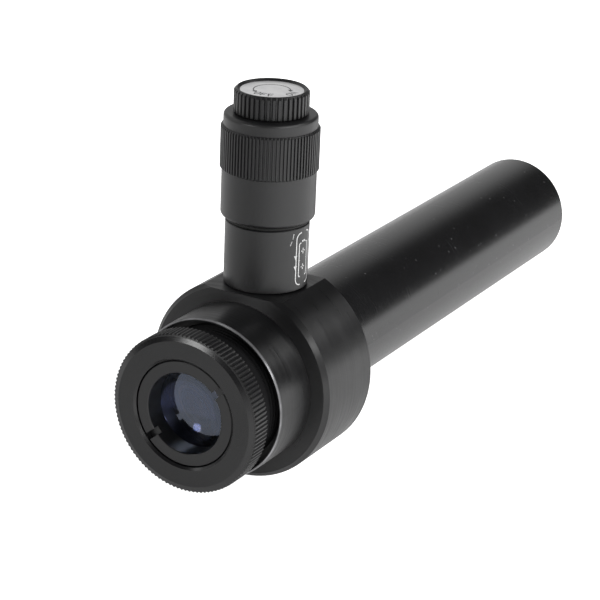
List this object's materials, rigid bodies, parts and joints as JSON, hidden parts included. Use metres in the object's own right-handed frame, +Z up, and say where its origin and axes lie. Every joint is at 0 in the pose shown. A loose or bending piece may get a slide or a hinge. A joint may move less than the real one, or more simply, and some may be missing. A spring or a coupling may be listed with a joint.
{
  "type": "alignment telescope",
  "caption": "Black alignment telescope with a one inch tube, a knurled focusing eyepiece and a button-cell reticle illuminator standing on its collar.",
  "frame": {"origin": "point on the optical axis where the tube leaves the collar's rear shoulder", "axes": "+Y along the optical axis towards the objective, +Z up along the illuminator, +X to the right seen from the eyepiece"},
  "size_m": [0.0418, 0.1534, 0.0802],
  "materials": {
    "anodised_black": "turned and gloss black anodised",
    "anodised_tube": "satin black anodised",
    "anodised_eyepiece": "satin black anodised",
    "matte_black_metal": "matte black",
    "illuminator_black": "bead-blasted matte black anodised",
    "coated_glass": "polished, blue anti-reflection coating",
    "brass_parts": "turned brass",
    "bright_steel": "bright steel",
    "seal_rubber": "matte rubber",
    "led_lens": "clear red epoxy",
    "circuit_board": "solder mask",
    "insulator": "white acetal",
    "pot_case": "moulded blue plastic",
    "label_silver": "satin silver plate with printed marks"
  },
  "bodies": {
    "housing": {"housing": "anodised_black", "main_tube": "anodised_tube", "objective_front_lens": "coated_glass", "objective_rear_lens": "coated_glass", "objective_retainer": "matte_black_metal", "tube_baffles": "matte_black_metal", "reticle_cell": "brass_parts", "reticle_glass": "coated_glass", "reticle_retainer": "brass_parts", "lower_barrel": "illuminator_black", "led": "led_lens", "led_leads": "bright_steel", "led_board": "circuit_board", "battery_sleeve": "insulator", "batteries": "bright_steel"},
    "focus_carriage": {"focus_oring": "seal_rubber"},
    "eyepiece": {"focus_ring": "anodised_eyepiece", "eye_retainer": "matte_black_metal", "eye_lens": "coated_glass", "lens_spacer": "matte_black_metal", "field_lens": "coated_glass"},
    "cap_carriage": {"cap_seal": "seal_rubber"},
    "battery_cap": {"battery_cap": "illuminator_black", "contact_spring": "bright_steel", "contact_board": "circuit_board", "pot_body": "pot_case", "pot_washer": "bright_steel", "pot_nut": "brass_parts"},
    "knob": {"knob": "illuminator_black", "knob_label": "label_silver", "knob_set_screw": "bright_steel", "pot_shaft": "bright_steel"}
  },
  "joints": [
    {"name": "focus_travel", "type": "slide", "parent": "housing", "child": "focus_carriage", "axis": [0, 1, 0], "range_m": [-0.002, 0.002]},
    {"name": "focus_turn", "type": "hinge", "parent": "focus_carriage", "child": "eyepiece", "pos_m": [0, -0.036, 0], "axis": [0, 1, 0], "range_deg": [-720, 720]},
    {"name": "cap_travel", "type": "slide", "parent": "housing", "child": "cap_carriage", "axis": [0, 0, 1], "range_m": [0, 0.005]},
    {"name": "cap_turn", "type": "hinge", "parent": "cap_carriage", "child": "battery_cap", "pos_m": [0, -0.00834, 0.043], "axis": [0, 0, 1], "range_deg": [0, 1800]},
    {"name": "brightness_turn", "type": "hinge", "parent": "battery_cap", "child": "knob", "pos_m": [0, -0.00834, 0.057], "axis": [0, 0, 1], "range_deg": [-300, 0]}
  ],
  "couplings": [
    {"joint": "focus_travel", "follows": "focus_turn", "m_per_rad": 0.000159},
    {"joint": "cap_travel", "follows": "cap_turn", "m_per_rad": 0.000159}
  ]
}
